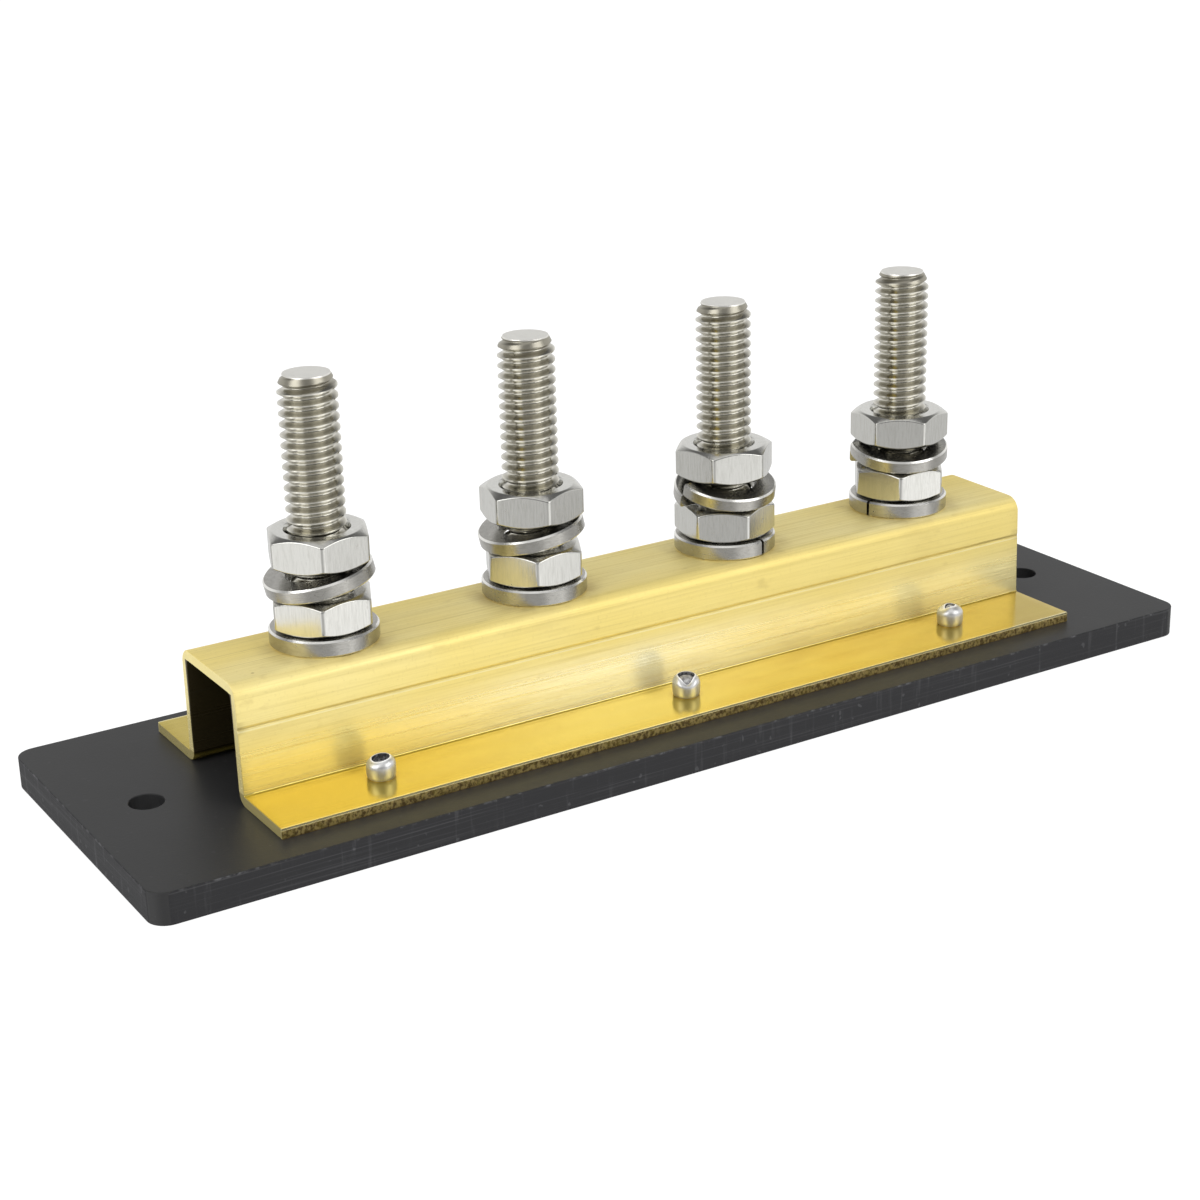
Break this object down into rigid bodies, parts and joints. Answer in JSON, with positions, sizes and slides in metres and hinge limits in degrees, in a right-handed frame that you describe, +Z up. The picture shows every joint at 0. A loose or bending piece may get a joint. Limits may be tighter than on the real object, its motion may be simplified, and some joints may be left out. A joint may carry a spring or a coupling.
{
  "type": "bus bar",
  "caption": "Brass hat-section bus bar riveted to a dark insulating base plate, with upright threaded studs that carry hexagon nuts and split washers.",
  "frame": {"origin": "middle of the base plate's underside", "axes": "+X along the bar to the right, +Y across it to the back, +Z up along the studs"},
  "size_m": [0.167, 0.0508, 0.0571],
  "materials": {
    "base_plastic": "satin charcoal sheet with sawn edges",
    "brass": "rolled brass sheet, satin with a fine lengthwise grain",
    "stainless": "bright stainless steel",
    "rivet_aluminium": "satin",
    "mandrel_steel": "dull plated steel"
  },
  "bodies": {
    "root": {"base_plate": "base_plastic", "bus_channel": "brass", "stud_bolt_1": "stainless", "stud_bolt_2": "stainless", "stud_bolt_3": "stainless", "stud_bolt_4": "stainless", "lower_washer_1": "stainless", "lower_washer_2": "stainless", "lower_washer_3": "stainless", "lower_washer_4": "stainless", "lower_nut_1": "stainless", "lower_nut_2": "stainless", "lower_nut_3": "stainless", "lower_nut_4": "stainless", "spring_washer_1": "stainless", "spring_washer_2": "stainless", "spring_washer_3": "stainless", "spring_washer_4": "stainless", "upper_nut_1": "stainless", "upper_nut_2": "stainless", "upper_nut_3": "stainless", "upper_nut_4": "stainless", "rivet_1": "rivet_aluminium", "rivet_2": "rivet_aluminium", "rivet_3": "rivet_aluminium", "rivet_4": "rivet_aluminium", "rivet_5": "rivet_aluminium", "rivet_6": "rivet_aluminium", "rivet_mandrel_1": "mandrel_steel", "rivet_mandrel_2": "mandrel_steel", "rivet_mandrel_3": "mandrel_steel", "rivet_mandrel_4": "mandrel_steel", "rivet_mandrel_5": "mandrel_steel", "rivet_mandrel_6": "mandrel_steel"}
  },
  "joints": []
}
